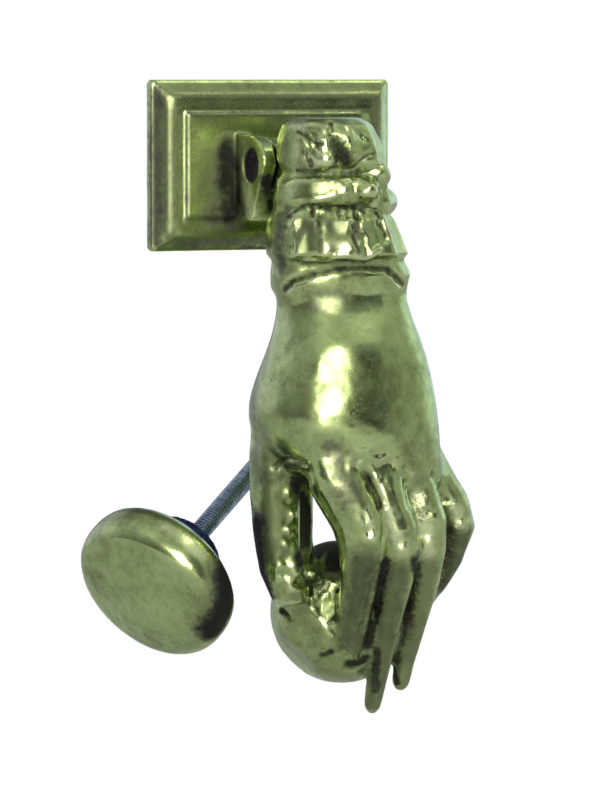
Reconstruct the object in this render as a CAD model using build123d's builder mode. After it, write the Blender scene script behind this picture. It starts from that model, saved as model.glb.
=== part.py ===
from build123d import *
import math
import os

# Cast brass door knocker: a left hand in a ruffled cuff that holds a ball and swings from a moulded plate,
# with the loose strike knob and its threaded stud.
# The door's face is the plane Y = 0, the plate's back lies on it, and the object is on the -Y side of it.
# X runs to the right and Z up. The origin is the middle of the plate's back, and the pin lies at Z = 0.
# A depth in this file is a distance out of the door, so it is -Y.

# Back plate
plate_width = 78.0
plate_height = 50.0
plate_edge = 3.0
moulding_width = 9.5
moulding_rise = 2.8
moulding_crown = 0.8
panel_step = 1.6
panel_fillet = 0.5
plate_corner = 1.0
plate_wall = 3.0
back_rim = 5.0
boss_diameter = 10.0
boss_spacing = 52.0
boss_bore = 5.0
boss_depth = 5.5

# Hinge
pin_diameter = 10.0
pin_clearance = 0.05
pin_out_of_panel = 8.8
bracket_width = 27.0
cheek_thickness = 4.2
cheek_radius = 9.0
cheek_foot_drop = 16.0
cheek_foot_reach = 11.0
cheek_foot_radius = 3.0
ledge_height = 3.0
side_clearance = 0.3
panel_clearance = 0.4
neck_height = 13.0

# Cuff
cuff_back = 27.5
cuff_side_left = 13.2
cuff_side_right = 16.6
cuff_depth = 22.5
cuff_top = 14.2
puff_drop = 16.3
ribbon_height = 9.2
frill_drop = 14.7
sleeve_drop = 11.0
gathers = 9
gather_sweep = 130.0
puff_swell = 1.0
frill_swell = 1.2
knot_radius = 4.6

# Hand
ball_radius = 21.0
ball_centre_x = 14.0
ball_centre_z = -131.2
finger_flats = 12
thumb_corner = 4.4

# Strike knob
knob_diameter = 48.0
knob_face_rise = 2.5
knob_rim = 16.0
knob_edge_radius = 6.0
knob_edge_bands = 3
knob_back_rise = 1.5
knob_neck_diameter = 22.0
knob_neck_length = 7.5
stud_diameter = 6.0
stud_length = 55.0
stud_socket = 14.0
stud_clearance = 0.05
knob_lean = 19.6
knob_turn = 36.5
knob_centre_x = -46.8
knob_centre_z = -119.4
rest_gap = 0.4

# Worked out from the sizes above
panel_face = plate_edge + moulding_rise + panel_step
pin_depth = panel_face + pin_out_of_panel
bore_radius = pin_diameter / 2 + pin_clearance
cheek_middle = (bracket_width - cheek_thickness) / 2
barrel_radius = pin_out_of_panel - panel_clearance
lug_width = bracket_width - 2 * cheek_thickness - 2 * side_clearance


# Back plate with its mitred moulding, raised panel and two cheeks, cast in one
inner_width = plate_width - 2 * moulding_width
inner_height = plate_height - 2 * moulding_width
step_height = plate_edge + moulding_rise
front = Plane.XZ

with BuildPart() as back_plate:
    with BuildSketch(front):
        RectangleRounded(plate_width, plate_height, plate_corner)
    extrude(amount=plate_edge)
    crown_inset = moulding_width * 0.45
    crown_height = plate_edge + moulding_rise + moulding_crown
    with BuildSketch(front.offset(plate_edge)):
        Rectangle(plate_width - plate_corner, plate_height - plate_corner)
    with BuildSketch(front.offset(crown_height)):
        Rectangle(plate_width - 2 * crown_inset, plate_height - 2 * crown_inset)
    loft()
    with BuildSketch(front.offset(crown_height)):
        Rectangle(plate_width - 2 * crown_inset, plate_height - 2 * crown_inset)
    with BuildSketch(front.offset(step_height)):
        Rectangle(inner_width, inner_height)
    loft()
    with BuildSketch(front.offset(step_height)):
        Rectangle(inner_width, inner_height)
    extrude(amount=panel_step)
    panel_edges = back_plate.faces().sort_by(Axis.Y)[0].edges()
    fillet(panel_edges, radius=panel_fillet)

    # Hollow back with a rim, and two tapped bosses for the screws that come through the door
    with BuildSketch(front):
        Rectangle(inner_width - back_rim, inner_height - back_rim)
        with GridLocations(boss_spacing, 0, 2, 1):
            Circle(boss_diameter / 2, mode=Mode.SUBTRACT)
    extrude(amount=panel_face - plate_wall, mode=Mode.SUBTRACT)
    with BuildSketch(front):
        with GridLocations(boss_spacing, 0, 2, 1):
            Circle(boss_bore / 2)
    extrude(amount=boss_depth, mode=Mode.SUBTRACT)

    # Cheeks: round over the pin, drawn down to a narrower foot that leans off the panel
    with BuildSketch(Plane.YZ.offset(-cheek_middle)):
        with BuildLine():
            foot = (-panel_face - cheek_foot_reach + cheek_foot_radius, -cheek_foot_drop)
            head = Line((-panel_face + 1, cheek_radius), (-pin_depth, cheek_radius))
            crown = RadiusArc(head @ 1, (-pin_depth - cheek_radius, 0), -cheek_radius)
            front_edge = Line(crown @ 1, (foot[0] - cheek_foot_radius, foot[1] + cheek_foot_radius))
            toe = RadiusArc(front_edge @ 1, (foot[0] + cheek_foot_radius, foot[1] + cheek_foot_radius),
                            -cheek_foot_radius)
            heel = Line(toe @ 1, (-panel_face + 1, -cheek_radius - 1))
            Line(heel @ 1, head @ 0)
        make_face()
    extrude(amount=cheek_thickness / 2, both=True)
    mirror(about=Plane.YZ)

    # Ledge that joins the two cheeks under the barrel
    with BuildSketch(Plane.YZ):
        with Locations((foot[0], foot[1] + cheek_foot_radius)):
            Circle(ledge_height)
    extrude(amount=cheek_middle, both=True)
    with BuildSketch(Plane.YZ):
        with Locations((-pin_depth, 0)):
            Circle(bore_radius)
    extrude(amount=bracket_width, both=True, mode=Mode.SUBTRACT)

back_plate.part.label = "back_plate"


# Hinge pin, flush with the cheeks
with BuildPart() as hinge_pin:
    with BuildSketch(Plane.YZ.offset(-bracket_width / 2)):
        with Locations((-pin_depth, 0)):
            Circle(pin_diameter / 2)
    extrude(amount=bracket_width)
    chamfer(hinge_pin.edges(), length=0.4)

hinge_pin.part.label = "hinge_pin"


def cuff_outline(z, left, right, back, depth, swell=0.0):
    """One closed outline across the cuff: a flat back, then gathers round the sides and the front."""
    middle = (right - left) / 2
    half_width = (right + left) / 2
    sweep = math.radians(gather_sweep)
    end_out = -math.copysign(abs(math.cos(sweep)) ** 0.8, 1)
    points = []
    for step in range(2 * gathers + 1):
        angle = sweep * (1 - step / gathers)
        across = math.copysign(abs(math.sin(angle)) ** 0.75, angle)
        out = math.copysign(abs(math.cos(angle)) ** 0.8, math.cos(angle))
        lift = swell if step % 2 else 0.0
        x = middle + across * (half_width + lift)
        y = back + depth * (out - end_out) / (1 - end_out) + lift * max(out, 0)
        points.append((x, -y))
    with BuildSketch(Plane.XY.offset(z)) as outline:
        with BuildLine():
            Polyline(*points, close=True)
        make_face()
    return outline.sketch


def hand_outline(z, left, right, back, front_depth, fullness=0.88):
    """One closed outline across the wrist or palm: a full, flat side to the palm and a rounder back of the hand."""
    middle = (left + right) / 2
    half_width = (right - left) / 2
    centre = -(back + front_depth) / 2
    half_depth = (front_depth - back) / 2
    roundness = 0.74
    points = [
        (middle + half_width, centre),
        (middle + half_width * fullness, centre + half_depth * fullness),
        (middle, centre + half_depth),
        (middle - half_width * fullness, centre + half_depth * fullness),
        (middle - half_width, centre),
        (middle - half_width * roundness, centre - half_depth * roundness),
        (middle, centre - half_depth),
        (middle + half_width * roundness, centre - half_depth * roundness),
    ]
    with BuildSketch(Plane.XY.offset(z)) as outline:
        with BuildLine():
            Spline(*points, periodic=True)
        make_face()
    return outline.sketch


def finger(joints, side=(1, 0, 0)):
    """Sections with filed flats, square to the line through a finger's joints, each (x, depth, z, radius)."""
    places = [Vector(x, -depth, z) for x, depth, z, radius in joints]
    sections = []
    for index, place in enumerate(places):
        before = places[max(index - 1, 0)]
        after = places[min(index + 1, len(places) - 1)]
        with BuildSketch(Plane(origin=place, x_dir=side, z_dir=after - before)) as section:
            RegularPolygon(joints[index][3], finger_flats)
        sections.append(section.sketch)
    way = (places[-1] - places[-2]).normalized()
    end_radius = joints[-1][3]
    with BuildSketch(Plane(origin=places[-1] + way * end_radius * 0.8, x_dir=side, z_dir=way)) as section:
        RegularPolygon(end_radius * 0.5, finger_flats)
    sections.append(section.sketch)
    return sections


def slab(joints):
    """Level sections with rounded corners, each (x, depth, z, width, thickness)."""
    sections = []
    for x, depth, z, width, thickness in joints:
        with BuildSketch(Plane.XY.offset(z)) as section:
            with Locations((x, -depth)):
                RectangleRounded(width, thickness, thumb_corner)
        sections.append(section.sketch)
    return sections


# Hand, cast in one with its cuff, its hinge lug and the ball
puff_foot = cuff_top - puff_drop
ribbon_foot = puff_foot - ribbon_height
frill_foot = ribbon_foot - frill_drop
sleeve_foot = frill_foot - sleeve_drop
left = cuff_side_left
right = cuff_side_right
back = cuff_back
deep = cuff_depth

with BuildPart() as knocker_hand:
    # Wrist and back of the hand, down to the knuckles
    loft([
        hand_outline(sleeve_foot + 3, -12.8, 25.5, 28.0, 48.0),
        hand_outline(-46, -13.3, 28.2, 25.5, 50.8),
        hand_outline(-60, -17.7, 32.6, 22.2, 55.2),
        hand_outline(-75, -19.8, 34.8, 21.4, 57.0),
        hand_outline(-86, -13.5, 35.2, 26.0, 56.2),
        hand_outline(-94, -2.0, 32.0, 41.0, 51.5),
    ])

    # Cuff from the top: puffs, the ribbon tied round it, the frill that flares to its lip, and the sleeve's edge
    loft([
        cuff_outline(cuff_top, left - 5.0, right - 6.5, back + 4.5, deep - 9.0),
        cuff_outline(cuff_top - 2, left - 2.4, right - 3.6, back + 1.0, deep - 2.4, puff_swell / 2),
        cuff_outline(cuff_top - 7, left - 1.2, right - 1.4, back, deep, puff_swell),
        cuff_outline(cuff_top - 12, left - 1.2, right, back, deep + 0.4, puff_swell),
        cuff_outline(puff_foot, left - 2.0, right - 0.8, back + 0.4, deep - 2.4),
        cuff_outline(puff_foot - 1.5, left + 0.2, right + 1.4, back + 0.2, deep),
        cuff_outline(ribbon_foot + 1.5, left + 1.2, right + 2.2, back + 0.2, deep + 0.2),
        cuff_outline(ribbon_foot, left + 0.4, right + 0.8, back + 0.4, deep - 2.2),
        cuff_outline(ribbon_foot - 4, left + 2.2, right + 3.2, back - 0.2, deep + 0.6, frill_swell),
        cuff_outline(frill_foot + 0.7, left + 2.4, right + 7.4, back - 0.8, deep + 3.0, frill_swell),
        cuff_outline(frill_foot - 1, left + 1.0, right + 8.0, back - 0.6, deep - 0.4),
        cuff_outline(frill_foot - 5, left + 1.6, right + 10.6, back - 1.2, deep + 0.6),
        cuff_outline(sleeve_foot + 1.4, left + 1.4, right + 9.4, back - 1.5, deep + 0.6),
        cuff_outline(sleeve_foot, left + 0.2, right + 7.4, back - 0.3, deep - 1.8),
    ], ruled=True)

    # Knot and the loops of the bow
    knot_x = 7.5
    knot_depth = back + deep - 2.0
    knot_z = (puff_foot + ribbon_foot) / 2
    knot = [(knot_x, knot_depth - 7, knot_z, knot_radius - 1), (knot_x, knot_depth, knot_z, knot_radius),
            (knot_x, knot_depth + 2.4, knot_z, knot_radius - 1)]
    loft(finger(knot), ruled=True)
    upper_loop = [(knot_x, knot_depth - 1, knot_z + 1, 3.0), (knot_x + 5.5, knot_depth - 2.5, knot_z + 4.5, 4.4),
                  (knot_x + 9.5, knot_depth - 8, knot_z + 4, 3.2)]
    lower_loop = [(knot_x, knot_depth - 1, knot_z - 1, 3.0), (knot_x + 6, knot_depth - 3, knot_z - 4, 4.2),
                  (knot_x + 11.5, knot_depth - 9, knot_z - 3.5, 4.0)]
    side_loop = [(knot_x - 1, knot_depth - 0.5, knot_z, 2.6), (knot_x - 7, knot_depth - 0.5, knot_z - 0.3, 4.0),
                 (knot_x - 14.5, knot_depth - 2, knot_z - 0.5, 3.0)]

    # Fingers: the index, middle and ring fingers are pressed on the ball, and the little finger curls behind
    index_finger = [(-3.5, 46.5, -76, 8.8), (-2.4, 49, -90, 8.2), (3.9, 51, -101.5, 7.9), (6.3, 50, -109.5, 7.6),
                    (7.4, 45.5, -120, 5.7), (7.5, 40.5, -134, 4.4), (7.4, 36.5, -144, 3.4)]
    middle_finger = [(8.5, 46.5, -76, 8.0), (11.5, 51, -93, 7.0), (15.8, 52, -104.5, 6.6), (17.2, 51, -111.5, 6.3),
                     (17.8, 47, -122, 5.1), (18.4, 40, -136, 4.0), (18.8, 35, -149, 3.2), (18.6, 32, -158.5, 2.5)]
    ring_finger = [(19.5, 44, -76, 7.6), (23.8, 47, -91, 6.6), (27.8, 48, -103, 6.2), (28.8, 46.5, -111, 5.9),
                   (30.2, 42, -121, 4.8), (30.4, 36.5, -132.5, 3.9), (29.9, 31, -145, 3.2), (29.4, 29.3, -152.5, 2.6)]
    little_finger = [(25.5, 38, -76, 7.6), (33, 39, -89, 6.7), (40.2, 40, -99.5, 6.0), (42.6, 39, -105.5, 5.9),
                     (41.6, 34.8, -115, 5.1), (39.4, 31, -122.5, 4.4), (36.2, 28.6, -128.5, 3.6)]
    digits = [index_finger, middle_finger, ring_finger, little_finger]
    for joints in digits:
        loft(finger(joints), ruled=True)
    for joints in [upper_loop, lower_loop, side_loop]:
        loft(finger(joints, side=(0, 0, 1)), ruled=True)

    # Thumb: a flat-sided slab down the side of the hand to the ball, given as (x, depth, z, width, thickness)
    thumb = [(-10.5, 31.0, -68, 14.5, 15.0), (-12.3, 31.0, -84, 14.0, 14.5), (-12.8, 31.0, -96, 12.8, 13.5),
             (-12.4, 31.3, -107, 12.0, 13.0), (-10.8, 31.3, -118, 11.4, 12.0), (-6.8, 30.6, -128, 10.0, 10.0)]
    thumb_web = [(-6.0, 28.0, -80, 14.0, 10.0), (-5.0, 26.6, -96, 12.6, 9.4), (-4.4, 26.0, -108, 11.6, 9.2),
                 (-2.5, 25.0, -120, 11.0, 9.2)]
    loft(slab(thumb), ruled=True)
    loft(slab(thumb_web), ruled=True)

    # Ball
    with Locations((ball_centre_x, -ball_radius - rest_gap, ball_centre_z)):
        Sphere(ball_radius)

    # Hinge lug: a barrel between the cheeks and a neck to the cuff's back
    with BuildSketch(Plane.YZ):
        with Locations((-pin_depth, 0)):
            Circle(barrel_radius)
        with Locations((-(pin_depth + cuff_back + 3) / 2, 0)):
            Rectangle(cuff_back + 3 - pin_depth, neck_height)
    extrude(amount=lug_width / 2, both=True)
    with BuildSketch(Plane.YZ):
        with Locations((-pin_depth, 0)):
            Circle(bore_radius)
    extrude(amount=lug_width, both=True, mode=Mode.SUBTRACT)

knocker_hand.part.label = "knocker_hand"


# Strike knob and its stud, lying on the knob's rim and the stud's tip
lean = math.radians(knob_lean)
turn = math.radians(knob_turn)
stud_way = Vector(math.cos(lean) * math.cos(turn), math.sin(lean), math.cos(lean) * math.sin(turn))
knob_side = Vector(-math.sin(turn), 0, math.cos(turn))
knob_depth = knob_diameter / 2 * math.cos(lean) + rest_gap
knob_middle = Vector(knob_centre_x, -knob_depth, knob_centre_z)
knob_plane = Plane(origin=knob_middle, x_dir=knob_side, z_dir=knob_side.cross(stud_way))
knob_radius = knob_diameter / 2
neck_radius = knob_neck_diameter / 2
knob_seat = knob_rim / 2 + knob_back_rise + knob_neck_length

# Profile of the knob's half: the domed face, the round edge in bands, the back and the neck
edge_centre = knob_radius - knob_edge_radius
edge_depth = knob_rim / 2 - knob_edge_radius
knob_profile = [(0, -knob_rim / 2 - knob_face_rise), (edge_centre * 0.6, -knob_rim / 2 - knob_face_rise * 0.72)]
for step in range(knob_edge_bands + 1):
    angle = math.radians(80 - 80 * step / knob_edge_bands)
    reach = edge_centre + knob_edge_radius * math.cos(angle)
    knob_profile.append((reach, -edge_depth - knob_edge_radius * math.sin(angle)))
for step in range(knob_edge_bands + 1):
    angle = math.radians(80 * step / knob_edge_bands)
    reach = edge_centre + knob_edge_radius * math.cos(angle)
    knob_profile.append((reach, edge_depth + knob_edge_radius * math.sin(angle)))
knob_profile += [(neck_radius, knob_rim / 2 + knob_back_rise), (neck_radius, knob_seat), (0, knob_seat)]

with BuildPart() as strike_knob:
    with BuildSketch(knob_plane):
        with BuildLine():
            Polyline(*knob_profile, close=True)
        make_face()
    revolve(axis=Axis(knob_middle, stud_way))
    stud_foot = knob_middle + stud_way * (knob_seat - stud_socket)
    with BuildSketch(Plane(origin=stud_foot, z_dir=stud_way)):
        Circle(stud_diameter / 2 + stud_clearance)
    extrude(amount=stud_socket, mode=Mode.SUBTRACT)

strike_knob.part.label = "strike_knob"

with BuildPart() as strike_stud:
    with BuildSketch(Plane(origin=stud_foot + stud_way * stud_clearance, z_dir=stud_way)):
        Circle(stud_diameter / 2)
    extrude(amount=stud_length)
    chamfer(strike_stud.faces().sort_by(Axis(stud_foot, stud_way))[-1].edges(), length=0.6)

strike_stud.part.label = "strike_stud"


os.makedirs("parts", exist_ok=True)
export_step(back_plate.part, "parts/back_plate.step")
export_step(hinge_pin.part, "parts/hinge_pin.step")
export_step(knocker_hand.part, "parts/knocker_hand.step")
export_step(strike_knob.part, "parts/strike_knob.step")
export_step(strike_stud.part, "parts/strike_stud.step")
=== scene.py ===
import bpy
import math
import random
import numpy as np
from mathutils import Matrix, Vector
from mathutils import noise as snoise
from mathutils.bvhtree import BVHTree


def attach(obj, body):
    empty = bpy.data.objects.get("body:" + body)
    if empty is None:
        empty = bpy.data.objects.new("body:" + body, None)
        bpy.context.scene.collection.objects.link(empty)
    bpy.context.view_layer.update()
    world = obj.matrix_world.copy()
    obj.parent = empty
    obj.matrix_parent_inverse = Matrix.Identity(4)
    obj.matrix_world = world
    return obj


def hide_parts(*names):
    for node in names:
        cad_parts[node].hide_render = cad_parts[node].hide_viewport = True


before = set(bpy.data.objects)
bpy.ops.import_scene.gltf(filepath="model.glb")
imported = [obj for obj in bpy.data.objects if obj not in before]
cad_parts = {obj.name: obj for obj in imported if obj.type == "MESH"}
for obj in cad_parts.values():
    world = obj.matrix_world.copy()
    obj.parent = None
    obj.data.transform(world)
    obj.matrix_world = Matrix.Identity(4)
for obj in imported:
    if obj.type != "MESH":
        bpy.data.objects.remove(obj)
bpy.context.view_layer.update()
mm = 0.001
print("frame loaded")


# camera, at the photograph's place

photo = {
    "width": 608,
    "height": 800,
    "azimuth": -27.0,        # degrees, the camera stands to the left of the door's normal
    "pitch": 3.704,          # degrees, and looks down a little
    "distance": 1.500,       # metres from the plate's plane through the origin
    "focalPixels": 5076.2,
    "centreAcross": 0.01111,
    "cameraHeight": 0.02743,
}
turn = math.radians(photo["azimuth"])
pitch = math.radians(photo["pitch"])
cameraRight = Vector((math.cos(turn), math.sin(turn), 0))
levelAhead = Vector((-math.sin(turn), math.cos(turn), 0))
cameraAhead = levelAhead * math.cos(pitch) - Vector((0, 0, math.sin(pitch)))
cameraUp = levelAhead * math.sin(pitch) + Vector((0, 0, math.cos(pitch)))
cameraPlace = cameraRight * photo["centreAcross"] - levelAhead * photo["distance"]
cameraPlace = cameraPlace + Vector((0, 0, photo["cameraHeight"]))

bpy.ops.object.camera_add(location=cameraPlace, rotation=(math.radians(90) - pitch, 0, turn))
camera = bpy.context.object
camera.name = "photoCamera"
camera.data.sensor_fit = "HORIZONTAL"
camera.data.sensor_width = 36
camera.data.lens = 36 * photo["focalPixels"] / photo["width"]
camera.data.clip_end = 20
bpy.context.scene.camera = camera


def pixelRay(px, py):  # the way in which the camera sees a pixel of the photograph
    across = (px - photo["width"] / 2) / photo["focalPixels"]
    up = (photo["height"] / 2 - py) / photo["focalPixels"]
    return (cameraAhead + cameraRight * across + cameraUp * up).normalized()


# stage and light

studio = {
    "floorHeight": -0.178,
    "floorSize": 6.0,
    "floorColour": (0.72, 0.72, 0.72, 1),
    "floorRough": 0.9,
    "baseColour": (0.090, 0.098, 0.098),
    "darkest": (0.04, 0.04, 0.04),
    "lampTarget": (0.008, -0.04, -0.07),
}

# broad glows of the studio, the last two of them dark: azimuth from the door's normal, elevation,
# the cosines at which each starts and is full, colour
glows = [
    (-15, 14, 0.76, 0.99, (0.40, 0.43, 0.32)),
    (60, 20, 0.60, 0.97, (0.38, 0.42, 0.36)),
    (-5, 70, 0.45, 0.98, (0.38, 0.42, 0.40)),
    (118, 8, 0.66, 0.95, (0.75, 0.92, 1.08)),
    (-150, 10, 0.62, 0.97, (0.66, 0.68, 0.88)),
    (-92, 50, 0.55, 0.98, (0.36, 0.40, 0.42)),
    (30, 22, 0.968, 0.982, (-0.34, -0.35, -0.29)),
    (27, 3, 0.968, 0.982, (-0.34, -0.35, -0.29)),
]

lamps = {
    "windowLight": {
        "azimuth": -13,
        "elevation": 14.5,
        "distance": 2.0,
        "size": (1.40, 1.05),
        "power": 25.0,
        "colour": (1.0, 1.0, 0.95),
        "roll": 20,
    },
    "upperLight": {
        "azimuth": 50,
        "elevation": 54,
        "distance": 1.2,
        "size": (0.30, 0.22),
        "power": 0.5,
        "colour": (1.0, 0.97, 0.86),
        "roll": 0,
    },
}


def deselect():
    bpy.ops.object.select_all(action="DESELECT")


def pickOnly(thing):
    deselect()
    thing.select_set(True)
    bpy.context.view_layer.objects.active = thing


def newNode(tree, kind):
    return tree.nodes.new("ShaderNode" + kind)


def newMaterial(name):
    material = bpy.data.materials.new(name)
    material.use_nodes = True
    tree = material.node_tree
    tree.nodes.clear()
    out = newNode(tree, "OutputMaterial")
    shader = newNode(tree, "BsdfPrincipled")
    return material, tree, out.inputs["Surface"], shader


def link(tree, fromSocket, toSocket):
    tree.links.new(fromSocket, toSocket)


def feed(tree, value, socket):  # a link where the value is a socket, and a constant where it isn't
    if hasattr(value, "links"):
        link(tree, value, socket)
    else:
        socket.default_value = value


def combine(tree, operation, first, second, clamp=False):
    node = newNode(tree, "Math")
    node.operation = operation
    node.use_clamp = clamp
    feed(tree, first, node.inputs[0])
    feed(tree, second, node.inputs[1])
    return node.outputs[0]


def plus(tree, first, second):
    return combine(tree, "ADD", first, second)


def times(tree, first, second, clamp=False):
    return combine(tree, "MULTIPLY", first, second, clamp)


def whiteBehind(tree, shaderSocket, outSocket):  # the camera sees plain white, and everything else the shader
    path = newNode(tree, "LightPath")
    either = combine(tree, "MAXIMUM", path.outputs["Is Camera Ray"], path.outputs["Is Transmission Ray"])
    onWorld = outSocket.node.type == "OUTPUT_WORLD"
    white = newNode(tree, "Background" if onWorld else "Emission")
    white.inputs["Color"].default_value = (1, 1, 1, 1)
    white.inputs["Strength"].default_value = 1
    mix = newNode(tree, "MixShader")
    link(tree, either, mix.inputs[0])
    link(tree, shaderSocket, mix.inputs[1])
    link(tree, white.outputs[0], mix.inputs[2])
    link(tree, mix.outputs[0], outSocket)


def wayTo(azimuth, elevation):  # a unit way from the door, azimuth over 0 to its right
    side = math.radians(azimuth)
    lift = math.radians(elevation)
    return Vector((math.sin(side) * math.cos(lift), -math.cos(side) * math.cos(lift), math.sin(lift)))


deselect()
bpy.ops.mesh.primitive_plane_add(size=studio["floorSize"], location=(0, 0, studio["floorHeight"]))
floor = bpy.context.object
floor.name = "paleFloor"
floorMaterial, floorTree, floorOut, floorShader = newMaterial("floorWhite")
floorShader.inputs["Base Color"].default_value = studio["floorColour"]
floorShader.inputs["Roughness"].default_value = studio["floorRough"]
whiteBehind(floorTree, floorShader.outputs[0], floorOut)
floor.data.materials.append(floorMaterial)

world = bpy.data.worlds.new("studioWorld")
bpy.context.scene.world = world
world.use_nodes = True
worldTree = world.node_tree
worldTree.nodes.clear()
worldOut = newNode(worldTree, "OutputWorld")
worldLight = newNode(worldTree, "Background")
worldPlace = newNode(worldTree, "TexCoord")
worldColour = studio["baseColour"]
for azimuth, elevation, fadeIn, full, colour in glows:
    toward = newNode(worldTree, "VectorMath")
    toward.operation = "DOT_PRODUCT"
    toward.inputs[1].default_value = wayTo(azimuth, elevation)
    link(worldTree, worldPlace.outputs["Generated"], toward.inputs[0])
    fade = newNode(worldTree, "MapRange")
    fade.interpolation_type = "SMOOTHSTEP"
    fade.inputs["From Min"].default_value = fadeIn
    fade.inputs["From Max"].default_value = full
    link(worldTree, toward.outputs["Value"], fade.inputs["Value"])
    scaled = newNode(worldTree, "VectorMath")
    scaled.operation = "MULTIPLY_ADD"
    link(worldTree, fade.outputs["Result"], scaled.inputs[0])
    scaled.inputs[1].default_value = colour
    feed(worldTree, worldColour, scaled.inputs[2])
    worldColour = scaled.outputs[0]
atLeast = newNode(worldTree, "VectorMath")
atLeast.operation = "MAXIMUM"
atLeast.inputs[1].default_value = studio["darkest"]
link(worldTree, worldColour, atLeast.inputs[0])
link(worldTree, atLeast.outputs[0], worldLight.inputs["Color"])
whiteBehind(worldTree, worldLight.outputs[0], worldOut.inputs["Surface"])


def softLight(name, azimuth, elevation, distance, size, power, colour, roll):
    aim = Vector(studio["lampTarget"])
    place = aim + wayTo(azimuth, elevation) * distance
    bpy.ops.object.light_add(type="AREA", location=place)
    lamp = bpy.context.object
    lamp.name = name
    lamp.data.shape = "RECTANGLE"
    lamp.data.size = size[0]
    lamp.data.size_y = size[1]
    lamp.data.energy = power
    lamp.data.color = colour
    look = (aim - place).to_track_quat("-Z", "Y").to_matrix() @ Matrix.Rotation(math.radians(roll), 3, "Z")
    lamp.rotation_euler = look.to_euler()


for name, settings in lamps.items():
    softLight(name, **settings)
bpy.context.scene.view_settings.view_transform = "Standard"
print("camera and lights done")


# materials

brassFinish = {
    "dark": (0.178, 0.193, 0.088, 1),
    "mid": (0.372, 0.444, 0.188, 1),
    "bright": (0.536, 0.622, 0.278, 1),
    # bright for rubbed places, also used for painted highlights
    "rubbedAndHighlight": (0.780, 0.820, 0.460, 1),
    # brown for stains and specks, also used for painted shade
    "stain": (0.088, 0.074, 0.070, 1),
    "cast": (0.085, 0.070, 0.048, 1),
    # near black, for grime and for painted shade
    "grimeAndShade": (0.026, 0.023, 0.022, 1),
    "cloudSize": 42.0,     # pattern scales, in cycles a metre
    "mottleSize": 260.0,
    "speckSize": 1300.0,
    "grainSize": 3600.0,
    "castSize": 900.0,
    "cloudShare": 0.55,    # how much each pattern and each layer counts
    "mottleShare": 0.45,
    "evenShare": 0.20,
    "speckShare": 0.55,
    "pepperShare": 0.35,
    "stainShare": 0.90,
    "stainMottle": 1.2,
    "grimeAndShadeShare": 0.94,
    "roughLow": 0.15,
    "roughHigh": 0.30,
    "speckRough": 0.6,
    "stainRough": 0.46,
    "grimeAndShadeRough": 0.72,
    "matteRough": 0.62,
    "bump": 0.14,
    "bumpDepth": 0.00022,      # metres
    "castBump": 0.8,
    "castBumpDepth": 0.0006,
}

# the plain metals: a fine mottle between two tones and two roughnesses, its scale in cycles a metre
plainFinish = {
    "ironDark": {
        "low": (0.020, 0.014, 0.030, 1),
        "high": (0.115, 0.085, 0.130, 1),
        "scale": 900.0,
        "roughLow": 0.42,
        "roughHigh": 0.7,
        "bumpDepth": 0.0003,
    },
    "zincSteel": {
        "low": (0.22, 0.27, 0.36, 1),
        "high": (0.50, 0.56, 0.66, 1),
        "scale": 500.0,
        "roughLow": 0.20,
        "roughHigh": 0.36,
        "bumpDepth": 0.00005,
    },
    # dark zinc: painted shade on the knob's foot
    "zincPaintedShade": {
        "low": (0.012, 0.018, 0.060, 1),
        "high": (0.050, 0.062, 0.150, 1),
        "scale": 600.0,
        "roughLow": 0.35,
        "roughHigh": 0.6,
        "bumpDepth": 0.0001,
    },
}


def noise(tree, source, scale, detail, rough, distort=0.0):
    node = newNode(tree, "TexNoise")
    node.inputs["Scale"].default_value = scale
    node.inputs["Detail"].default_value = detail
    node.inputs["Roughness"].default_value = rough
    node.inputs["Distortion"].default_value = distort
    link(tree, source, node.inputs["Vector"])
    return node.outputs["Fac"]


def grey(value):
    return (value, value, value, 1)


def ramp(tree, source, stops):
    node = newNode(tree, "ValToRGB")
    while len(node.color_ramp.elements) < len(stops):
        node.color_ramp.elements.new(0.5)
    for element, (place, colour) in zip(node.color_ramp.elements, stops):
        element.position = place
        element.color = colour if hasattr(colour, "__len__") else grey(colour)
    link(tree, source, node.inputs["Fac"])
    return node.outputs["Color"]


def mixColour(tree, share, first, second):
    node = newNode(tree, "Mix")
    node.data_type = "RGBA"
    feed(tree, share, node.inputs[0])
    feed(tree, first, node.inputs[6])
    feed(tree, second, node.inputs[7])
    return node.outputs[2]


def objectPlace(tree):
    return newNode(tree, "TexCoord").outputs["Object"]


def attribute(tree, name):
    node = newNode(tree, "Attribute")
    node.attribute_name = name
    return node.outputs["Fac"]


def bumped(tree, height, strength, depth, normal=None):
    bump = newNode(tree, "Bump")
    bump.inputs["Strength"].default_value = strength
    bump.inputs["Distance"].default_value = depth
    link(tree, height, bump.inputs["Height"])
    if normal is not None:
        link(tree, normal, bump.inputs["Normal"])
    return bump.outputs["Normal"]


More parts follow.
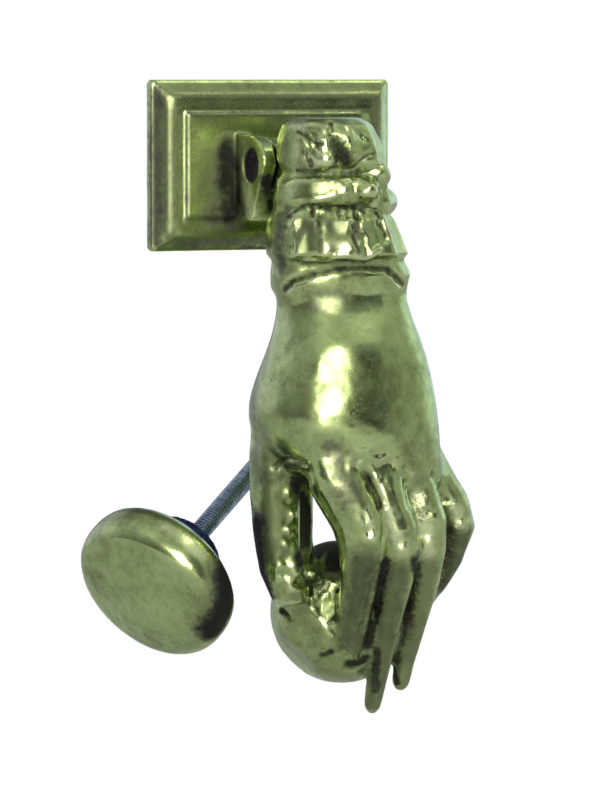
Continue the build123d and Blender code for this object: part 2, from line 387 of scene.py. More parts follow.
def antiqueBrass(finish):  # olive gold brass: soft polish, brown stain and painted shade, dark hollows of grime and painted shade, rubbed high places and painted highlights
    material, tree, out, shader = newMaterial("antiqueBrass")
    place = objectPlace(tree)
    cloud = noise(tree, place, finish["cloudSize"], 4.0, 0.6, 0.6)
    mottle = noise(tree, place, finish["mottleSize"], 5.0, 0.65)
    speck = noise(tree, place, finish["speckSize"], 3.0, 0.6)
    grain = noise(tree, place, finish["grainSize"], 2.0, 0.6)

    # clouded metal, rubbed bright on high places and lighter where highlights are painted
    tone = plus(tree, times(tree, cloud, finish["cloudShare"]), times(tree, mottle, finish["mottleShare"]))
    colour = ramp(tree, tone, [(0.34, finish["dark"]), (0.48, finish["mid"]), (0.64, finish["bright"])])
    colour = mixColour(tree, finish["evenShare"], colour, finish["mid"])
    rubbedAndHighlightShare = times(tree, attribute(tree, "rubbedAndHighlight"), plus(tree, mottle, 0.35), True)
    colour = mixColour(tree, rubbedAndHighlightShare, colour, finish["rubbedAndHighlight"])

    # specks and pepper
    specks = ramp(tree, speck, [(0.31, 1.0), (0.37, 0.0)])
    speckShare = times(tree, specks, finish["speckShare"])
    colour = mixColour(tree, speckShare, colour, finish["stain"])
    pepper = ramp(tree, grain, [(0.33, 1.0), (0.40, 0.0)])
    colour = mixColour(tree, times(tree, pepper, finish["pepperShare"]), colour, finish["dark"])

    # stain and painted shade, rough cast, and grime with painted shade, each with a mottled edge
    stainMottle = times(tree, combine(tree, "SUBTRACT", mottle, 0.5), finish["stainMottle"])
    stainEdge = plus(tree, attribute(tree, "stain"), stainMottle)
    stainShare = times(tree, ramp(tree, stainEdge, [(0.22, 0.0), (0.95, 1.0)]), finish["stainShare"])
    colour = mixColour(tree, stainShare, colour, finish["stain"])
    grimeAndShadeEdge = times(tree, attribute(tree, "grimeAndShade"), plus(tree, mottle, 0.6))
    grimeAndShadeShare = times(tree, ramp(tree, grimeAndShadeEdge, [(0.20, 0.0), (0.95, 1.0)]), finish["grimeAndShadeShare"])
    castSpecks = ramp(tree, speck, [(0.45, 1.0), (0.62, 0.35)])
    castShare = times(tree, attribute(tree, "cast"), castSpecks, True)
    colour = mixColour(tree, castShare, colour, finish["cast"])
    colour = mixColour(tree, grimeAndShadeShare, colour, finish["grimeAndShade"])
    link(tree, colour, shader.inputs["Base Color"])
    shader.inputs["Metallic"].default_value = 1.0

    rough = ramp(tree, tone, [(0.36, finish["roughHigh"]), (0.62, finish["roughLow"])])
    rough = mixColour(tree, speckShare, rough, grey(finish["speckRough"]))
    rough = mixColour(tree, stainShare, rough, grey(finish["stainRough"]))
    rough = mixColour(tree, grimeAndShadeShare, rough, grey(finish["grimeAndShadeRough"]))
    rough = mixColour(tree, attribute(tree, "matte"), rough, grey(finish["matteRough"]))
    link(tree, rough, shader.inputs["Roughness"])

    height = plus(tree, times(tree, mottle, 0.5), times(tree, speck, 0.4))
    smooth = bumped(tree, height, finish["bump"], finish["bumpDepth"])
    cast = noise(tree, place, finish["castSize"], 4.0, 0.7)
    castHeight = times(tree, cast, times(tree, attribute(tree, "cast"), 1.6, True))
    castNormal = bumped(tree, castHeight, finish["castBump"], finish["castBumpDepth"], smooth)
    link(tree, castNormal, shader.inputs["Normal"])
    link(tree, shader.outputs[0], out)
    return material


def plainMetal(name, low, high, scale, roughLow, roughHigh, bumpDepth):
    material, tree, out, shader = newMaterial(name)
    mottle = noise(tree, objectPlace(tree), scale, 5.0, 0.65)
    link(tree, ramp(tree, mottle, [(0.35, low), (0.65, high)]), shader.inputs["Base Color"])
    link(tree, ramp(tree, mottle, [(0.35, roughHigh), (0.65, roughLow)]), shader.inputs["Roughness"])
    shader.inputs["Metallic"].default_value = 1.0
    link(tree, bumped(tree, mottle, 0.4, bumpDepth), shader.inputs["Normal"])
    link(tree, shader.outputs[0], out)
    return material


brass = antiqueBrass(brassFinish)
ironDark = plainMetal("ironDark", **plainFinish["ironDark"])
zincSteel = plainMetal("zincSteel", **plainFinish["zincSteel"])
zincPaintedShade = plainMetal("zincPaintedShade", **plainFinish["zincPaintedShade"])
print("materials done")


# helpers for meshes

# how a surface's hollows and bumps turn into wear, grime and painted shade, and how ragged carved lines and
# painted edges are
wear = {
    "raySeed": 3,
    "rayStart": 0.0003,      # metres off the surface
    # grime with painted shade where the surface is shut in and in its hollows
    "grimeAndShadeFromShut": 1.35,
    "grimeAndShadeStart": 0.12,
    "grimeAndShadeFromHollow": 0.16,
    "rubbedFromBump": 0.36,
    "bumpStart": 0.4,
    "castFromShut": 1.2,
    "castStart": 0.25,
    "grooveGrain": 2.6,      # millimetres
    "grooveSeed": 51,
    "edgeGrain": 1.3,        # millimetres
    "edgeSeed": 61,
    "patchGrain": 4.0,       # millimetres
    "patchSeed": 62,
}


def copyOfNode(node, name):  # a merged copy of a CAD node's mesh, as its own object at the origin
    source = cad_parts[node]
    deselect()
    piece = bpy.data.objects.new(name, source.data.copy())
    bpy.context.collection.objects.link(piece)
    piece.data.materials.clear()
    pickOnly(piece)
    bpy.ops.object.mode_set(mode="EDIT")
    bpy.ops.mesh.select_all(action="SELECT")
    bpy.ops.mesh.remove_doubles(threshold=0.000002)
    bpy.ops.mesh.customdata_custom_splitnormals_clear()
    bpy.ops.object.mode_set(mode="OBJECT")
    return piece


def applyModifier(piece, kind, **settings):
    pickOnly(piece)
    modifier = piece.modifiers.new(kind.lower(), kind)
    for key, value in settings.items():
        setattr(modifier, key, value)
    bpy.ops.object.modifier_apply(modifier=modifier.name)


def readVectors(piece, kind):
    values = np.empty(len(piece.data.vertices) * 3)
    piece.data.vertices.foreach_get(kind, values)
    return values.reshape(-1, 3)


def readPoints(piece):
    return readVectors(piece, "co")


def readNormals(piece):
    return readVectors(piece, "normal")


def writePoints(piece, points):
    piece.data.vertices.foreach_set("co", points.ravel())
    piece.data.update()


def readEdges(piece):
    edges = np.empty(len(piece.data.edges) * 2, dtype=np.int64)
    piece.data.edges.foreach_get("vertices", edges)
    return edges.reshape(-1, 2)


def neighbourMean(values, edges, count):
    first = edges[:, 0]
    second = edges[:, 1]
    degree = np.maximum(np.bincount(edges.ravel(), minlength=count), 1)
    if values.ndim == 1:
        total = np.bincount(first, values[second], count) + np.bincount(second, values[first], count)
        return total / degree
    total = np.zeros_like(values)
    for axis in range(values.shape[1]):
        total[:, axis] = np.bincount(first, values[second, axis], count)
        total[:, axis] += np.bincount(second, values[first, axis], count)
    return total / degree[:, None]


def keepInside(piece, node):  # holds a piece in the box of the CAD node that it takes the place of
    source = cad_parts[node]
    corners = np.array([source.matrix_world @ corner.co for corner in source.data.vertices])
    writePoints(piece, np.clip(readPoints(piece), corners.min(axis=0), corners.max(axis=0)))


def treeOf(piece):
    mesh = piece.data
    return BVHTree.FromPolygons([v.co[:] for v in mesh.vertices], [p.vertices[:] for p in mesh.polygons])


def setLayer(piece, name, values):
    layer = piece.data.attributes.new(name, "FLOAT", "POINT")
    layer.data.foreach_set("value", np.clip(values, 0, 1).astype(np.float32))


def unevenness(points, size, seed):  # smooth noise between -1 and 1, size in millimetres
    shift = Vector((seed * 7.3, seed * 3.1, seed * 5.7))
    return np.array([snoise.noise(Vector(point) * (1000 / size) + shift) for point in points])


def closedIn(piece, reach, rays):  # how far each point is shut in by the piece itself, 0 to 1
    points = readPoints(piece)
    normals = readNormals(piece)
    edges = readEdges(piece)
    rng = random.Random(wear["raySeed"])
    ways = []
    while len(ways) < rays:
        way = Vector((rng.uniform(-1, 1), rng.uniform(-1, 1), rng.uniform(-1, 1)))
        if 0.2 < way.length < 1:
            ways.append(way.normalized())
    tree = treeOf(piece)
    shut = np.zeros(len(points))
    for index in range(len(points)):
        normal = Vector(normals[index])
        start = Vector(points[index]) + normal * wear["rayStart"]
        total = 0.0
        for way in ways:
            out = way if way.dot(normal) > 0 else -way
            hit = tree.ray_cast(start, out, reach)
            if hit[0] is not None:
                total += 1 - hit[3] / reach
        shut[index] = total / rays
    for step in range(2):
        shut = 0.5 * shut + 0.5 * neighbourMean(shut, edges, len(points))
    return shut


def paintWearAndLight(piece, skin, shut, grimeAndShadeGain=1.0, rubbedGain=1.0):  # the layers that the brass reads: wear, grime with painted shade, stains with painted shade, rubbed places with painted highlights
    points = readPoints(piece)
    edges = readEdges(piece)
    count = len(points)
    bend = np.einsum("ij,ij->i", neighbourMean(points, edges, count) - points, readNormals(piece))
    for step in range(3):
        bend = 0.5 * bend + 0.5 * neighbourMean(bend, edges, count)
    bend = bend / (np.percentile(np.abs(bend), 90) + 1e-9)
    hollows = wear["grimeAndShadeFromHollow"] * np.clip(bend, 0, 2.5)
    bumps = wear["rubbedFromBump"] * np.clip(-bend - wear["bumpStart"], 0, 2)
    grimeAndShade = grimeAndShadeGain * (wear["grimeAndShadeFromShut"] * shut - wear["grimeAndShadeStart"] + hollows)
    rubbedAndHighlight = rubbedGain * (bumps - shut) - skin.rough
    setLayer(piece, "grimeAndShade", np.maximum(grimeAndShade, skin.dirt))
    setLayer(piece, "rubbedAndHighlight", np.maximum(rubbedAndHighlight, skin.shine))
    setLayer(piece, "cast", np.maximum(wear["castFromShut"] * shut - wear["castStart"], skin.rough))
    setLayer(piece, "stain", skin.stain)
    setLayer(piece, "matte", skin.matte)


class Skin:  # a piece's surface, with moves like those of a carving tool, placed by the photograph's pixels

    def __init__(self, piece):
        self.piece = piece
        self.edges = readEdges(piece)
        self.refresh()
        # layers: stains with painted shade, dirt with painted shade, rough cast, painted highlights, matte
        self.stain, self.dirt, self.rough, self.shine, self.matte = np.zeros((5, len(self.points)))

    def refresh(self):
        self.points = readPoints(self.piece)
        self.normals = readNormals(self.piece)
        self.tree = treeOf(self.piece)

    def store(self):
        writePoints(self.piece, self.points)
        self.refresh()

    def lift(self, heights):  # moves the points out along their normals, in millimetres
        self.points += self.normals * (heights * mm)[:, None]

    def at(self, px, py):  # the point that the camera sees at a pixel
        hit = self.tree.ray_cast(cameraPlace, pixelRay(px, py))
        reach = 0
        while hit[0] is None:  # beside the piece, the nearest pixel that shows it
            reach += 1
            for step in range(12):
                side = math.radians(30 * step)
                way = pixelRay(px + reach * math.cos(side), py + reach * math.sin(side))
                hit = self.tree.ray_cast(cameraPlace, way)
                if hit[0] is not None:
                    break
        return hit[0]

    def near(self, pixels, radius):  # 1 on a line of pixels, falling evenly to 0 at the radius in millimetres
        line = [np.array(self.at(px, py)) for px, py in pixels]
        if len(line) == 1:
            line = [line[0], line[0]]
        best = np.full(len(self.points), 1e9)
        for a, b in zip(line[:-1], line[1:]):
            span = b - a
            along = np.clip(((self.points - a) @ span) / max(span @ span, 1e-12), 0, 1)
            best = np.minimum(best, np.linalg.norm(self.points - a - along[:, None] * span, axis=1))
        weight = np.clip(1 - best / (radius * mm), 0, 1)
        return weight * np.clip(2 * (self.normals @ -np.array(cameraAhead)) + 1.2, 0, 1)

    def groove(self, pixels, radius, depth, power=1.5, broken=0.7):
        weight = self.near(pixels, radius) ** power
        touched = np.nonzero(weight > 0)[0]
        grain = unevenness(self.points[touched], wear["grooveGrain"], wear["grooveSeed"])
        uneven = np.clip(1 + broken * (2.2 * grain - 0.3), 0.05, 1.3)
        self.points[touched] -= self.normals[touched] * (weight[touched] * uneven * depth * mm)[:, None]

    def swell(self, pixels, radius, height):
        weight = self.near(pixels, radius)
        weight = weight * weight * (3 - 2 * weight)
        self.lift(weight * height)

    def file(self, px, py, radius, way, depth):  # cuts a flat at the depth under the pixel's point
        right, ahead, up = way
        middle = np.array(self.at(px, py))
        facing = cameraRight * right + cameraAhead * ahead + cameraUp * up
        normal = np.array(facing.normalized())
        above = (self.points - middle) @ normal + depth * mm
        close = np.linalg.norm(self.points - middle, axis=1) < radius * mm
        cut = np.where(close & (above > 0), above, 0)
        self.points -= normal[None, :] * cut[:, None]

    def soften(self, pixels, radius, turns):
        weight = (np.clip(self.near(pixels, radius) * 2, 0, 1) * 0.5)[:, None]
        for step in range(turns):
            self.points += weight * (neighbourMean(self.points, self.edges, len(self.points)) - self.points)

    def roughen(self, pixels, radius, amount, size, seed):
        weight = np.clip(self.near(pixels, radius) * 2, 0, 1)
        touched = np.nonzero(weight > 0)[0]
        lift = unevenness(self.points[touched], size, seed)
        self.points[touched] += self.normals[touched] * (lift * weight[touched] * amount * mm)[:, None]

    def paint(self, layer, pixels, radius, share, ragged=1.0):
        weight = self.near(pixels, radius) * 1.5
        touched = np.nonzero(weight > 0)[0]
        edge = 0.5 * unevenness(self.points[touched], wear["edgeGrain"], wear["edgeSeed"])
        edge = edge + 0.3 * unevenness(self.points[touched], wear["patchGrain"], wear["patchSeed"])
        weight[touched] += ragged * edge
        np.maximum(layer, np.clip(weight, 0, 1) * share, out=layer)

    def paintAll(self, layer, marks, ragged=1.0):  # each mark: its pixels, radius in millimetres and share
        for pixels, radius, share in marks.values():
            self.paint(layer, pixels, radius, share, ragged)

    def carve(self, marks):  # each mark: a tool's name, the mark's pixels, then what else the tool takes
        for tool, *settings in marks.values():
            getattr(self, tool)(*settings)


def skinOf(node, name, shape):  # a CAD node's surface as an even mesh, ready to carve
    piece = copyOfNode(node, name)
    applyModifier(piece, "REMESH", mode="VOXEL", voxel_size=shape["voxel"])
    applyModifier(piece, "SMOOTH", factor=0.5, iterations=shape["smoothTurns"])
    return piece, Skin(piece)


def smoothShade(piece):
    pickOnly(piece)
    bpy.ops.object.shade_smooth()


# hand: one casting with its cuff and ball

handShape = {
    "voxel": 0.68 * mm,
    "smoothTurns": 9,
    "lowWave": 0.16,      # unevenness of hand filing, in millimetres
    "fineWave": 0.05,
    "castWave": 0.35,     # rough cast where the surface is shut in
    "shutReach": 0.011,
    "shutRays": 14,
}

hand, skin = skinOf("knocker_hand", "brassHand", handShape)
print("hand remeshed", len(skin.points))

# knuckles flow into the fingers, and the fingers' joints are rounded
skin.carve({
    "knuckles": ("soften", [(300, 462), (340, 462), (390, 462), (440, 470)], 13, 22),
    "index finger": ("soften", [(335, 480), (372, 560)], 7, 10),
    "middle finger": ("soften", [(385, 480), (408, 560)], 6, 8),
    "ring finger": ("soften", [(430, 490), (432, 560)], 6, 8),
    "little finger": ("soften", [(460, 490), (464, 550)], 6, 8),
    "thumb": ("soften", [(256, 450), (262, 500), (270, 560)], 8, 12),
    "side of the wrist": ("soften", [(262, 300), (262, 340)], 8, 10),
})
skin.store()

# grooves between the fingers, from the knuckles down
skin.carve({
    "gap of index and middle": ("groove", [(366, 472), (372, 486), (380, 506)], 2.6, 1.1),
    "gap of middle and ring": ("groove", [(403, 468), (406, 484), (409, 505)], 2.0, 1.0),
    "gap of ring and little": ("groove", [(434, 474), (438, 484), (444, 500)], 2.0, 1.3),
    "dip over the knuckles": ("groove", [(352, 460), (374, 456), (392, 464)], 5.0, 0.5, 1.0),
    "ridge of the middle finger": ("swell", [(371, 470), (383, 500), (396, 535)], 3.0, 0.5),
    "dip of the index knuckle": ("swell", [(334, 456), (342, 466)], 7.0, -1.2),
    "back of the ring finger": ("swell", [(423, 506)], 3.0, 0.6),
    "edge of the index joint": ("groove", [(364, 515), (368, 527), (370, 540)], 1.5, 0.5),
    "edge of the index finger": ("groove", [(383, 527), (380, 556), (371, 592), (357, 640)], 1.6, 0.45),
    "wrinkle of the ring finger": ("groove", [(420, 505), (427, 511), (433, 514), (440, 513)], 1.0, 0.7),
    "wrinkle by the little finger": ("groove", [(436, 488), (440, 496)], 1.0, 0.7),
    "index joint": ("swell", [(371, 538)], 3.6, 0.8),
    "middle joint": ("swell", [(402, 551)], 4.2, 1.0),
    "ring joint": ("swell", [(428, 545)], 4.0, 0.9),
    "little joint": ("swell", [(461, 527)], 4.0, 0.9),
    "middle knuckle": ("swell", [(375, 478)], 2.4, 0.45),
    "ring knuckle": ("swell", [(412, 474)], 2.2, 0.45),
    "little knuckle": ("swell", [(444, 476)], 2.4, 0.35),
})
skin.store()

# thumb: slit at its root, lumps on its inner wall, rough cast where it meets the ball
skin.carve({
    "slit": ("groove", [(275, 467), (281, 461), (289, 459.5), (298, 461), (304, 464)], 1.2, 1.1, 1.0, 0.3),
    "lip under the slit": ("swell", [(280, 471), (298, 470)], 2.4, 0.5),
    "first lump": ("swell", [(288, 493)], 1.8, 0.6),
    "second lump": ("swell", [(293, 515)], 1.8, 0.6),
    "third lump": ("swell", [(288, 530)], 1.8, 0.6),
    "fourth lump": ("swell", [(285, 545)], 1.8, 0.6),
    "first notch": ("groove", [(286, 503), (296, 504)], 1.3, 0.6),
    "second notch": ("groove", [(286, 523), (296, 524)], 1.3, 0.6),
    "third notch": ("groove", [(286, 537), (296, 538)], 1.3, 0.6),
    "rough cast": ("roughen", [(288, 570), (310, 585), (322, 590)], 6.5, 0.9, 2.6, 1),
    "finer rough cast": ("roughen", [(300, 575), (318, 585)], 5.0, 0.4, 1.3, 2),
    "tip": ("swell", [(291, 588)], 2.6, 0.7),
})
skin.store()

# ball: filed flats, the crease where it was cast on, pits
skin.carve({
    "lower left flat": ("file", 292, 660, 14, (-0.68, -0.30, -0.66), 1.5),
    "left flat": ("file", 292, 628, 11, (-0.55, -0.80, -0.30), 0.7),
    "lower flat": ("file", 320, 662, 11, (-0.10, -0.75, -0.65), 0.7),
    "small flat": ("file", 325, 603, 6, (0.25, -0.95, 0), 0.5),
    "crease": ("groove", [(290, 600), (303, 605), (312, 606), (318, 614), (326, 624), (333, 635), (335, 652)],
               1.1, 0.8),
    "faint crease": ("groove", [(280, 622), (295, 618), (307, 629), (312, 645)], 1.0, 0.35),
    "pit by the index tip": ("groove", [(322, 655), (333, 653)], 1.5, 1.4),
    "pit under the thumb": ("groove", [(283, 612), (289, 616)], 1.4, 0.9),
    "small pit": ("groove", [(303, 647)], 0.9, 0.7),
    "seam to the thumb": ("groove", [(303, 600), (316, 608)], 1.5, 0.8),
})
skin.store()

# cuff: flat filed side, puffs, wrinkles and pits
skin.carve({
    "filed side": ("file", 284, 152, 9, (-0.80, -0.60, 0), 0.5),
    "fold between the puffs": ("groove", [(329, 121), (332.5, 131), (334, 144), (335, 154), (338, 162)],
                               1.5, 1.2),
    "slot of the first puff": ("groove", [(306, 152), (309, 159), (312, 166)], 1.1, 1.2),
    "wrinkle of the first puff": ("groove", [(295, 133), (303, 133), (307, 139), (315, 145), (323, 143)],
                                  0.9, 0.7),
    "end of that wrinkle": ("groove", [(315, 145), (319, 150)], 0.9, 0.6),
    "pit of the second puff": ("groove", [(358, 134), (364, 140)], 1.2, 0.5),
    "line over the ribbon": ("groove", [(298, 170), (315, 171), (334, 168), (351, 169), (358, 164),
                                        (365, 155), (374, 153)], 0.9, 0.7),
    "line left under the ribbon": ("groove", [(290, 217), (297, 211), (304, 206)], 0.8, 0.6),
    "line under the ribbon": ("groove", [(309, 206), (326, 208), (340, 207), (356, 207)], 1.0, 0.6),
    "slit of the loops": ("groove", [(375, 180), (377, 186), (379, 192)], 1.1, 1.0),
    "left edge of the knot": ("groove", [(352, 172), (354, 180), (353, 190)], 1.1, 0.5),
    "right edge of the loops": ("groove", [(388, 178), (390, 192), (387, 205)], 1.1, 0.5),
    "rough fold": ("roughen", [(338, 148), (346, 156), (350, 162)], 4.2, 0.75, 1.5, 4),
    "rough first puff": ("roughen", [(299, 132), (322, 144)], 3.2, 0.45, 1.6, 5),
    "rough second puff": ("roughen", [(358, 136), (370, 148)], 3.2, 0.3, 1.9, 6),
    "lump by the slot": ("swell", [(304, 156)], 1.8, 0.4),
    "low part of the first puff": ("swell", [(326, 163)], 4.6, 1.0),
    "second puff": ("swell", [(345, 136)], 4.2, 0.6),
    "top of the first puff": ("swell", [(312, 124)], 3.6, 0.4),
})
skin.store()

# ribbon folds, knot and loops, and the small gathers under the ribbon
gatherShape = {
    "long": 5,            # pixels
    "width": 1.1,         # millimetres, as the next ones
    "depth": 0.9,
    "foldApart": 4,       # pixels
    "foldWidth": 1.6,
    "foldHeight": 0.4,
}
gatherPlaces = [(312, 210), (319, 210), (339, 211), (347, 212), (355, 213), (365, 213), (379, 217)]

skin.carve({
    "knot": ("swell", [(359, 182)], 2.6, 0.6),
    "low part of the knot": ("swell", [(362, 193)], 2.6, 0.9),
    "loop": ("swell", [(373, 205)], 2.8, 1.1),
    "upper loop": ("swell", [(368, 166), (380, 170)], 4.0, 0.8),
    "side loop": ("swell", [(386, 190), (388, 205)], 2.6, 0.6),
    "lower edge": ("swell", [(314, 199), (334, 196)], 2.0, 0.45),
    "first fold": ("groove", [(330, 183), (350, 180)], 0.8, 0.35),
    "second fold": ("groove", [(328, 188), (352, 184)], 0.8, 0.35),
    "third fold": ("groove", [(322, 193), (350, 189)], 0.8, 0.35),
    "fourth fold": ("groove", [(330, 200), (352, 195)], 0.8, 0.35),
    "crumpled part": ("roughen", [(338, 184), (350, 190)], 2.8, 0.3, 1.3, 7),
})
for px, py in gatherPlaces:
    skin.groove([(px, py), (px + 1, py + gatherShape["long"])], gatherShape["width"], gatherShape["depth"])
    skin.swell([(px + gatherShape["foldApart"], py)], gatherShape["foldWidth"], gatherShape["foldHeight"])
skin.store()

# frill: deep pleats, bright lip and the hollow under it, the sleeve's edge over the wrist
frillLip = [(304, 260), (315, 260), (323, 260), (334, 256), (347, 255), (365, 258), (379, 249)]
sleeveEdge = [(284, 290), (293, 281), (315, 274), (334, 270), (354, 268), (366, 268), (388, 269), (402, 283)]

skin.carve({
    "left pleat": ("groove", [(318, 219), (319, 228), (320, 238), (321, 248)], 2.4, 0.45, 1.0, 0.4),
    "right pleat": ("groove", [(357, 216), (355, 228), (353, 236), (360, 249)], 1.8, 1.1, 1.0, 0.4),
    "fork of the right pleat": ("groove", [(356, 226), (364, 238), (366, 253)], 1.8, 1.1, 1.0, 0.4),
    "far right pleat": ("groove", [(380, 222), (383, 230), (386, 238)], 1.9, 1.1, 1.0, 0.4),
    "far left pleat": ("groove", [(300, 224), (294, 236), (290, 248)], 2.4, 0.7, 1.0, 0.4),
    "rough pleat": ("roughen", [(358, 222), (361, 246)], 2.6, 0.5, 1.4, 8),
    "rough side": ("roughen", [(284, 215), (283, 255)], 5.0, 0.35, 2.6, 9),
    "middle of the frill": ("swell", [(327, 248), (338, 247), (350, 247)], 5.0, 0.9),
    "lip": ("swell", frillLip, 1.7, 1.1),
    "hollow under the lip": ("groove", [(306, 267), (324, 266), (345, 263), (368, 263)], 2.6, 1.2, 1.0, 0.0),
    "wrist's dip": ("swell", [(312, 289), (345, 284), (378, 286)], 12.0, -0.8),
    "back of the hand": ("swell", [(322, 350), (372, 347)], 10.0, 0.8),
    "step to the wrist": ("soften", [(287, 299), (315, 297), (345, 294), (375, 295), (400, 299)], 10.0, 45),
    "sleeve's edge": ("groove", sleeveEdge, 1.5, 1.5, 1.0, 0.2),
    "deeper left end": ("groove", sleeveEdge[:3], 1.5, 0.8, 1.0, 0.2),
})
skin.store()

# unevenness of hand filing, and rough cast where the surface is shut in
shut = closedIn(hand, handShape["shutReach"], handShape["shutRays"])
heights = unevenness(skin.points, 7.0, 11) * handShape["lowWave"]
heights += unevenness(skin.points, 2.2, 12) * handShape["fineWave"]
heights += unevenness(skin.points, 1.5, 13) * handShape["castWave"] * np.clip(2.0 * shut - 0.2, 0, 0.8)
skin.lift(heights)
skin.store()

# stains with painted shade, dirt with painted shade and shadow, painted highlights and rough cast: pixels,
# radius in millimetres, share
# stains, and painted shade where highlights are darkened away on the index root, frill, ribbon and wrist
handStainAndShade = {
    "left edge of the palm": ([(256, 385), (255, 430), (257, 480)], 4.5, 0.55),
    "outer side of the thumb": ([(258, 520), (260, 560), (264, 590)], 4.8, 1.0),
    "left rim of the ball": ([(268, 600), (272, 635)], 4.0, 0.4),
    "side of the frill": ([(283, 215), (281, 262)], 4.5, 0.80),
    "side of the cuff": ([(286, 128), (280, 200)], 4.2, 0.55),
    "upper right of the cuff": ([(400, 120), (375, 135)], 3.0, 0.30),
    "over the knuckles": ([(349, 458), (392, 464)], 5.0, 0.30),
    "left side of the wrist": ([(268, 345), (262, 372)], 5.0, 0.50),
    "root of the ring finger": ([(405, 470), (436, 476)], 4.0, 0.20),
    "root of the thumb": ([(262, 430), (275, 470)], 7.0, 0.55),
    "under the ball": ([(285, 640), (310, 665), (345, 680)], 8.0, 0.50),
    "root of the index": ([(333, 452), (341, 470), (350, 498)], 6.5, 0.80),
    "top of the frill": ([(302, 222), (340, 226)], 3.4, 0.55),
    "left pleats": ([(301, 222), (303, 246)], 3.0, 0.60),
    "wrist under the sleeve": ([(318, 300), (340, 298)], 6.0, 0.66),
    "upper half of the ribbon": ([(316, 183), (344, 181)], 2.0, 0.50),
    "ball at the thumb": ([(300, 600), (290, 625)], 6.0, 0.42),
    "front of the ball": ([(285, 650), (325, 668)], 9.0, 0.34),
    "middle of the frill": ([(312, 232), (345, 236)], 4.0, 0.40),
}
# dirt, and painted shade and shadow in creases, pits, hollows, between the fingers, on the thumb's inner wall
# and the ball's top
handDirtAndShade = {
    "index finger": ([(366, 560), (360, 600), (350, 650)], 8.0, 0.66),
    "middle finger": ([(396, 575), (388, 620), (376, 700)], 8.0, 0.60),
    "left of the middle fingertip": ([(377, 650), (375, 690)], 3.0, 0.85),
    "gap of index and middle": ([(384, 562), (378, 600), (368, 645)], 3.4, 0.88),
    "gap of middle and ring": ([(414, 560), (407, 610), (396, 660)], 2.8, 0.88),
    "gap of ring and little": ([(448, 525), (450, 560), (445, 590)], 3.0, 0.70),
    "ring finger": ([(428, 570), (418, 620), (402, 680)], 8.0, 0.52),
    "little finger": ([(462, 540), (450, 580)], 7.0, 0.66),
    "front of the thumb": ([(272, 485), (277, 555)], 5.5, 0.60),
    "left end of the sleeve's edge": (sleeveEdge[:3], 1.1, 0.75),
    "sleeve's edge": (sleeveEdge[2:], 1.4, 0.80),
    "under the frill's lip": ([(306, 266), (324, 265), (345, 262), (368, 262)], 2.6, 0.40),
    "left pleat": ([(319, 223), (319, 233), (321, 249)], 1.9, 0.74),
    "right pleat": ([(354, 213), (357, 228), (354, 240), (358, 250)], 1.9, 0.74),
    "inner wall of the thumb": ([(297, 482), (303, 505), (304, 540), (300, 560)], 5.0, 1.0),
    "top of the ball": ([(316, 553), (326, 543), (337, 546), (336, 565)], 6.5, 1.0),
    "rough fold of the puffs": ([(338, 148), (346, 160)], 3.8, 0.80),
    "pit by the index tip": ([(322, 655), (331, 652)], 1.6, 0.80),
    "pit under the thumb": ([(281, 611), (287, 614)], 1.8, 0.85),
    "fold between the puffs": ([(331, 124), (334, 140), (336, 161)], 1.2, 0.90),
    "wrinkle of the first puff": ([(298, 132), (306, 136), (313, 142), (322, 144)], 0.9, 0.75),
    "slot of the first puff": ([(303, 152), (307, 158), (311, 166)], 1.1, 0.85),
    "line over the ribbon": ([(297, 170), (315, 174), (353, 167), (360, 160), (368, 155)], 0.9, 0.75),
    "line left under the ribbon": ([(287, 217), (296, 211), (304, 205)], 0.8, 0.80),
    "under the loop": ([(376, 213), (381, 218)], 1.2, 0.90),
    "far right pleat": ([(380, 224), (385, 236)], 1.1, 0.85),
    "hollow under the index tip": ([(350, 664), (366, 658)], 3.0, 0.9),
    "hollow by the ring fingertip": ([(394, 668), (397, 682)], 2.2, 0.9),
    "slit of the thumb": ([(286, 466), (300, 464)], 1.6, 0.7),
    "outer side of the thumb": ([(257, 526), (260, 560), (265, 590)], 5.0, 1.0),
    "start of the index gap": ([(369, 480), (372, 486)], 1.2, 0.60),
}
# painted highlights on the finger joints and ridges, the puffs, knot, loop and frill
handPaintedHighlights = {
    "index joint": ([(370, 531)], 1.8, 0.6),
    "middle joint": ([(402, 544)], 2.6, 0.6),
    "ring joint": ([(427, 537)], 2.4, 0.6),
    "little joint": ([(460, 519)], 2.4, 0.6),
    "first puff": ([(324, 157)], 2.4, 0.6),
    "knot": ([(359, 182)], 1.6, 0.6),
    "low part of the knot": ([(362, 193)], 1.6, 0.6),
    "loop": ([(374, 205)], 1.8, 0.6),
    "middle of the frill": ([(339, 249)], 2.2, 0.6),
    "left of the lip": ([(314, 259)], 1.8, 0.6),
    "ridge of the index": ([(366, 508), (373, 536)], 1.8, 1.0),
    "ridge of the middle finger": ([(380, 482), (390, 510), (401, 546)], 2.4, 1.0),
    "back of the ring finger": ([(418, 500), (424, 530), (428, 552)], 3.6, 1.0),
    "back of the little finger": ([(455, 505), (461, 524)], 2.6, 1.0),
    "low part of the first puff": ([(312, 160), (328, 158)], 3.0, 1.0),
    "low part of the frill": ([(325, 247), (345, 246)], 2.4, 1.0),
}
